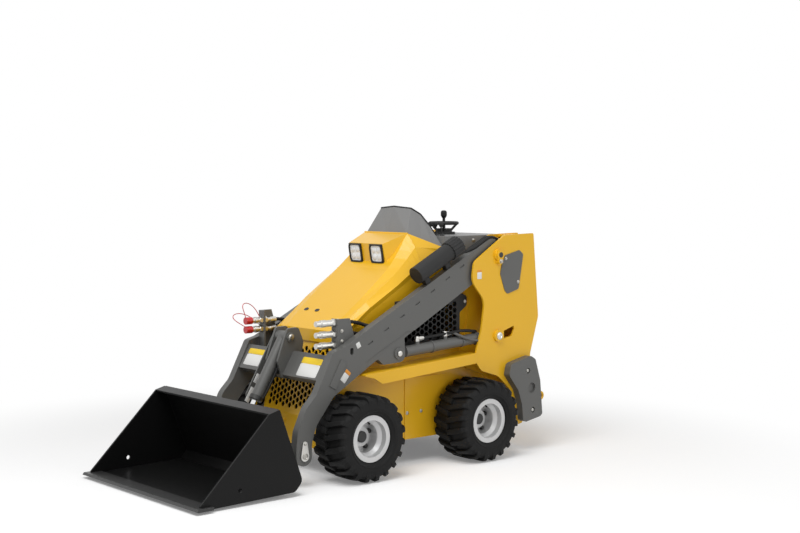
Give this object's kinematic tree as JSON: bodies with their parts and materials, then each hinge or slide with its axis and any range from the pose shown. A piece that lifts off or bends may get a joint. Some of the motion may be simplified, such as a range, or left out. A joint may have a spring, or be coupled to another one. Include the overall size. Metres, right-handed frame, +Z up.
{
  "type": "wheeled mini loader",
  "caption": "Compact stand-behind wheeled loader with lift arms pivoted on rear towers, a tilting bucket, hydraulic cylinders, an opening hood and turning wheels.",
  "frame": {"origin": "on the ground, in the middle of the machine's box", "axes": "+X forward to the bucket, +Y to the left, +Z up"},
  "size_m": [2.4799, 1.108, 1.41],
  "materials": {
    "yellow_paint": "satin",
    "grey_paint": "satin",
    "cowl_paint": "satin",
    "bucket_paint": "satin",
    "edge_steel": "satin",
    "zinc_plate": "satin",
    "rod_chrome": "polished",
    "black_plastic": "matte",
    "black_rubber": "matte",
    "red_plastic": "gloss",
    "lamp_glass": "clear",
    "engine_metal": "matte",
    "motor_iron": "matte",
    "tyre_rubber": "matte",
    "rim_paint": "satin"
  },
  "bodies": {
    "chassis": {"frame_side_left": "yellow_paint", "frame_side_right": "yellow_paint", "belly_plate": "yellow_paint", "front_panel": "yellow_paint", "rear_panel": "yellow_paint", "engine_block": "engine_metal", "wheel_motors": "motor_iron", "side_ledges": "yellow_paint", "side_grilles": "black_plastic", "tower_left": "yellow_paint", "tower_right": "yellow_paint", "tower_covers": "grey_paint", "rear_weights": "grey_paint", "lashing_eyes": "yellow_paint", "rear_buffers": "black_rubber", "arm_pins": "yellow_paint", "console": "cowl_paint", "cowl": "cowl_paint", "drive_control": "black_plastic", "drive_lever": "black_rubber", "hood_rear": "yellow_paint", "side_covers": "yellow_paint"},
    "hood": {"hood": "yellow_paint", "lamp_housings": "black_plastic", "lamp_lenses": "lamp_glass"},
    "lift_arms": {"arm_left": "grey_paint", "arm_right": "grey_paint", "cross_beam": "grey_paint", "lock_bar": "grey_paint", "coupler_brackets": "grey_paint", "couplers": "zinc_plate", "coupler_hoses": "black_rubber", "dust_caps": "red_plastic", "document_tube": "black_plastic", "document_cap": "black_plastic", "bucket_pins": "zinc_plate"},
    "lift_barrel_left": {"lift_barrel_left": "grey_paint"},
    "lift_barrel_right": {"lift_barrel_right": "grey_paint"},
    "lift_rod_left": {"lift_rod_left": "rod_chrome"},
    "lift_rod_right": {"lift_rod_right": "rod_chrome"},
    "tilt_barrel": {"tilt_barrel": "grey_paint"},
    "tilt_rod": {"tilt_rod": "rod_chrome"},
    "bucket": {"bucket_shell": "bucket_paint", "bucket_sides": "bucket_paint", "cutting_edge": "edge_steel", "attach_plate": "grey_paint"},
    "wheel_front_left": {"tyre_front_left": "tyre_rubber", "rim_front_left": "rim_paint"},
    "wheel_front_right": {"tyre_front_right": "tyre_rubber", "rim_front_right": "rim_paint"},
    "wheel_rear_left": {"tyre_rear_left": "tyre_rubber", "rim_rear_left": "rim_paint"},
    "wheel_rear_right": {"tyre_rear_right": "tyre_rubber", "rim_rear_right": "rim_paint"}
  },
  "joints": [
    {"name": "arms_lift", "type": "hinge", "parent": "chassis", "child": "lift_arms", "pos_m": [-0.841, 0, 1.139], "axis": [0, -1, 0], "range_deg": [0, 65]},
    {"name": "bucket_tilt", "type": "hinge", "parent": "lift_arms", "child": "bucket", "pos_m": [0.506, 0, 0.162], "axis": [0, 1, 0], "range_deg": [-25, 95]},
    {"name": "hood_open", "type": "hinge", "parent": "chassis", "child": "hood", "pos_m": [-0.37066, 0, 1.263], "axis": [0, -1, 0], "range_deg": [0, 45]},
    {"name": "lift_swing_left", "type": "hinge", "parent": "lift_arms", "child": "lift_barrel_left", "pos_m": [-0.125, 0.378, 0.634], "axis": [0, -1, 0], "range_deg": [-12.5, 0.5]},
    {"name": "lift_slide_left", "type": "slide", "parent": "lift_barrel_left", "child": "lift_rod_left", "axis": [-0.9978, 0, 0.0656], "range_m": [-0.002, 0.462]},
    {"name": "lift_swing_right", "type": "hinge", "parent": "lift_arms", "child": "lift_barrel_right", "pos_m": [-0.125, -0.378, 0.634], "axis": [0, -1, 0], "range_deg": [-12.5, 0.5]},
    {"name": "lift_slide_right", "type": "slide", "parent": "lift_barrel_right", "child": "lift_rod_right", "axis": [-0.9978, 0, 0.0656], "range_m": [-0.002, 0.462]},
    {"name": "tilt_swing", "type": "hinge", "parent": "lift_arms", "child": "tilt_barrel", "pos_m": [0.34, 0, 0.727], "axis": [0, 1, 0], "range_deg": [-2, 5]},
    {"name": "tilt_slide", "type": "slide", "parent": "tilt_barrel", "child": "tilt_rod", "axis": [0.5025, 0, -0.8646], "range_m": [-0.06, 0.22]},
    {"name": "wheel_front_left_spin", "type": "hinge", "parent": "chassis", "child": "wheel_front_left", "pos_m": [0.17, 0.427, 0.2285], "axis": [0, 1, 0], "continuous": true},
    {"name": "wheel_front_right_spin", "type": "hinge", "parent": "chassis", "child": "wheel_front_right", "pos_m": [0.17, -0.427, 0.2285], "axis": [0, 1, 0], "continuous": true},
    {"name": "wheel_rear_left_spin", "type": "hinge", "parent": "chassis", "child": "wheel_rear_left", "pos_m": [-0.672, 0.427, 0.2285], "axis": [0, 1, 0], "continuous": true},
    {"name": "wheel_rear_right_spin", "type": "hinge", "parent": "chassis", "child": "wheel_rear_right", "pos_m": [-0.672, -0.427, 0.2285], "axis": [0, 1, 0], "continuous": true}
  ],
  "couplings": [
    {"joint": "lift_swing_left", "follows": "arms_lift", "ratio": -0.17841},
    {"joint": "lift_slide_left", "follows": "arms_lift", "m_per_rad": 0.40194},
    {"joint": "lift_swing_right", "follows": "arms_lift", "ratio": -0.17841},
    {"joint": "lift_slide_right", "follows": "arms_lift", "m_per_rad": 0.40194},
    {"joint": "tilt_swing", "follows": "bucket_tilt", "ratio": 0.035},
    {"joint": "tilt_slide", "follows": "bucket_tilt", "m_per_rad": 0.12892}
  ]
}
